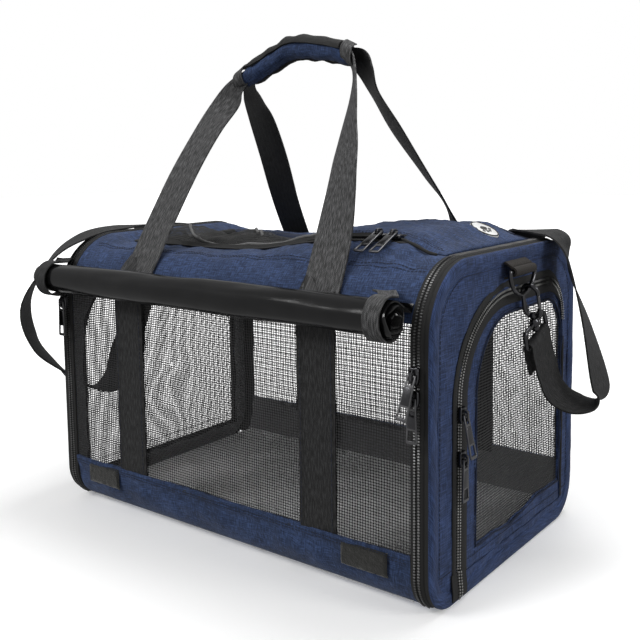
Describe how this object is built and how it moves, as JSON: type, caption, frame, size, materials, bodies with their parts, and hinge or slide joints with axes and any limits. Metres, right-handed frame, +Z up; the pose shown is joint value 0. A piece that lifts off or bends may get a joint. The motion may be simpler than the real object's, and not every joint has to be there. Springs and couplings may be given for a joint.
{
  "type": "pet carrier bag",
  "caption": "Soft-sided pet carrier with mesh sides, zipped end door, top hatch, rolled side curtains, twin carry handles and a clip-on shoulder strap.",
  "frame": {"origin": "middle of the flat underside, on the floor", "axes": "+Z up; +X towards the end with the zipped door; -Y towards the long side whose curtain faces forward"},
  "size_m": [0.5428, 0.3674, 0.4801],
  "materials": {
    "navy_fabric": "heathered woven polyester",
    "black_mesh": "open woven net",
    "webbing": "ribbed polypropylene webbing",
    "coated_fabric": "coated cloth with a soft shine",
    "mat_felt": "short grey pile over a board",
    "velcro": "hook-and-loop pile",
    "zip_tape": "woven tape",
    "zip_teeth": "moulded coil",
    "gunmetal": "dark plated metal",
    "badge": "moulded, with a plain paw mark",
    "lining": "dark inner lining and binding"
  },
  "bodies": {
    "shell": {"bottom_panel": "navy_fabric", "front_mesh": "black_mesh", "rear_mesh": "black_mesh", "top_panel": "navy_fabric", "hatch_zip": "zip_teeth", "right_end_panel": "navy_fabric", "left_end_panel": "navy_fabric", "right_piping": "navy_fabric", "left_piping": "navy_fabric", "right_corner_zip": "zip_tape", "left_corner_zip": "zip_tape", "left_window_mesh": "black_mesh", "right_door_zip": "zip_teeth", "front_curtain": "coated_fabric", "rear_curtain": "coated_fabric", "front_left_loop": "webbing", "front_right_loop": "webbing", "rear_left_loop": "webbing", "rear_right_loop": "webbing", "front_left_webbing": "webbing", "front_right_webbing": "webbing", "rear_left_webbing": "webbing", "rear_right_webbing": "webbing", "left_velcro_patch": "velcro", "right_velcro_patch": "velcro", "right_ring_tab": "webbing", "left_ring_tab": "webbing", "shoulder_strap": "webbing", "floor_mat": "mat_felt"},
    "door": {"right_door": "navy_fabric", "right_door_mesh": "black_mesh"},
    "hatch": {"top_hatch": "black_mesh", "hatch_pocket": "navy_fabric", "badge": "badge"},
    "front_handle": {"front_handle": "webbing", "grip_pad": "navy_fabric"},
    "rear_handle": {"rear_handle": "webbing", "grip_flap": "webbing"},
    "corner_upper_slider": {"corner_upper_slider": "gunmetal"},
    "corner_upper_pull": {"corner_upper_pull": "gunmetal"},
    "corner_lower_slider": {"corner_lower_slider": "gunmetal"},
    "corner_lower_pull": {"corner_lower_pull": "gunmetal"},
    "left_corner_slider": {"left_corner_slider": "gunmetal"},
    "left_corner_pull": {"left_corner_pull": "gunmetal"},
    "door_upper_slider": {"door_upper_slider": "gunmetal"},
    "door_upper_pull": {"door_upper_pull": "gunmetal"},
    "door_lower_slider": {"door_lower_slider": "gunmetal"},
    "door_lower_pull": {"door_lower_pull": "gunmetal"},
    "hatch_left_slider": {"hatch_left_slider": "gunmetal"},
    "hatch_left_pull": {"hatch_left_pull": "gunmetal"},
    "hatch_right_slider": {"hatch_right_slider": "gunmetal"},
    "hatch_right_pull": {"hatch_right_pull": "gunmetal"},
    "right_ring": {"right_d_ring": "gunmetal"},
    "right_hook": {"right_snap_hook": "gunmetal"},
    "right_gate": {"right_hook_gate": "gunmetal"},
    "right_swivel": {"right_swivel_base": "gunmetal"},
    "left_ring": {"left_d_ring": "gunmetal"},
    "left_hook": {"left_snap_hook": "gunmetal"},
    "left_gate": {"left_hook_gate": "gunmetal"},
    "left_swivel": {"left_swivel_base": "gunmetal"}
  },
  "joints": [
    {"name": "door_swing", "type": "hinge", "parent": "shell", "child": "door", "pos_m": [0.21975, 0.11, 0.13], "axis": [0, 0, -1], "range_deg": [0, 90]},
    {"name": "hatch_lift", "type": "hinge", "parent": "shell", "child": "hatch", "pos_m": [0.0085, 0.071, 0.2895], "axis": [-1, 0, 0], "range_deg": [0, 45]},
    {"name": "front_handle_swing", "type": "hinge", "parent": "shell", "child": "front_handle", "pos_m": [0, -0.1325, 0.254], "axis": [1, 0, 0], "range_deg": [0, 95]},
    {"name": "rear_handle_swing", "type": "hinge", "parent": "shell", "child": "rear_handle", "pos_m": [0, 0.1325, 0.254], "axis": [-1, 0, 0], "range_deg": [0, 95]},
    {"name": "corner_upper_slide", "type": "slide", "parent": "shell", "child": "corner_upper_slider", "axis": [0, 0, 1], "range_m": [0, 0.014]},
    {"name": "corner_upper_pull_swing", "type": "hinge", "parent": "corner_upper_slider", "child": "corner_upper_pull", "pos_m": [0.2106, -0.1482, 0.1965], "axis": [-0.9945, 0, 0.1045], "range_deg": [0, 110]},
    {"name": "corner_lower_slide", "type": "slide", "parent": "shell", "child": "corner_lower_slider", "axis": [0, 0, 1], "range_m": [-0.115, 0]},
    {"name": "corner_lower_pull_swing", "type": "hinge", "parent": "corner_lower_slider", "child": "corner_lower_pull", "pos_m": [0.2106, -0.1482, 0.1785], "axis": [-1, 0, 0], "range_deg": [0, 22]},
    {"name": "left_corner_slide", "type": "slide", "parent": "shell", "child": "left_corner_slider", "axis": [0, 0, 1], "range_m": [-0.15, 0]},
    {"name": "left_corner_pull_swing", "type": "hinge", "parent": "left_corner_slider", "child": "left_corner_pull", "pos_m": [-0.2106, -0.1482, 0.213], "axis": [-1, 0, 0], "range_deg": [0, 95]},
    {"name": "door_upper_slide", "type": "slide", "parent": "shell", "child": "door_upper_slider", "axis": [0, 0, 1], "range_m": [-0.012, 0.004]},
    {"name": "door_upper_pull_swing", "type": "hinge", "parent": "door_upper_slider", "child": "door_upper_pull", "pos_m": [0.2278, -0.0947, 0.156], "axis": [0, -1, 0], "range_deg": [0, 110]},
    {"name": "door_lower_slide", "type": "slide", "parent": "shell", "child": "door_lower_slider", "axis": [0, 0, 1], "range_m": [-0.085, 0]},
    {"name": "door_lower_pull_swing", "type": "hinge", "parent": "door_lower_slider", "child": "door_lower_pull", "pos_m": [0.2278, -0.0947, 0.12], "axis": [0, -1, 0], "range_deg": [0, 75]},
    {"name": "hatch_left_slide", "type": "slide", "parent": "shell", "child": "hatch_left_slider", "axis": [1, 0, 0], "range_m": [-0.08, 0]},
    {"name": "hatch_left_pull_swing", "type": "hinge", "parent": "hatch_left_slider", "child": "hatch_left_pull", "pos_m": [0.135, -0.0777, 0.29655], "axis": [-1, 0, 0], "range_deg": [0, 110]},
    {"name": "hatch_right_slide", "type": "slide", "parent": "shell", "child": "hatch_right_slider", "axis": [1, 0, 0], "range_m": [0, 0.018]},
    {"name": "hatch_right_pull_swing", "type": "hinge", "parent": "hatch_right_slider", "child": "hatch_right_pull", "pos_m": [0.15, -0.0777, 0.29655], "axis": [-1, 0, 0], "range_deg": [0, 110]},
    {"name": "right_ring_swing", "type": "hinge", "parent": "shell", "child": "right_ring", "pos_m": [0.231, 0, 0.262], "axis": [0, -1, 0], "range_deg": [-2, 60], "deforming": ["shoulder_strap"]},
    {"name": "right_hook_swing", "type": "hinge", "parent": "right_ring", "child": "right_hook", "pos_m": [0.231, 0.01021, 0.24287], "axis": [0, -0.9397, -0.342], "range_deg": [-1.5, 45]},
    {"name": "right_gate_press", "type": "hinge", "parent": "right_hook", "child": "right_gate", "pos_m": [0.24, 0.01633, 0.22604], "axis": [0, -0.9397, -0.342], "range_deg": [0, 22], "stiffness_Nm_per_rad": 0.02, "springref_deg": -20.05},
    {"name": "right_swivel_turn", "type": "hinge", "parent": "right_hook", "child": "right_swivel", "pos_m": [0.233, 0.02129, 0.21242], "axis": [0, -0.342, 0.9397], "range_deg": [-16, 16]},
    {"name": "left_ring_swing", "type": "hinge", "parent": "shell", "child": "left_ring", "pos_m": [-0.231, 0, 0.262], "axis": [0, 1, 0], "range_deg": [-2, 60], "deforming": ["shoulder_strap"]},
    {"name": "left_hook_swing", "type": "hinge", "parent": "left_ring", "child": "left_hook", "pos_m": [-0.231, -0.01021, 0.24287], "axis": [0, 0.9397, -0.342], "range_deg": [-1.5, 45]},
    {"name": "left_gate_press", "type": "hinge", "parent": "left_hook", "child": "left_gate", "pos_m": [-0.24, -0.01633, 0.22604], "axis": [0, 0.9397, -0.342], "range_deg": [0, 22], "stiffness_Nm_per_rad": 0.02, "springref_deg": -20.05},
    {"name": "left_swivel_turn", "type": "hinge", "parent": "left_hook", "child": "left_swivel", "pos_m": [-0.233, -0.02129, 0.21242], "axis": [0, 0.342, 0.9397], "range_deg": [-16, 16]}
  ]
}
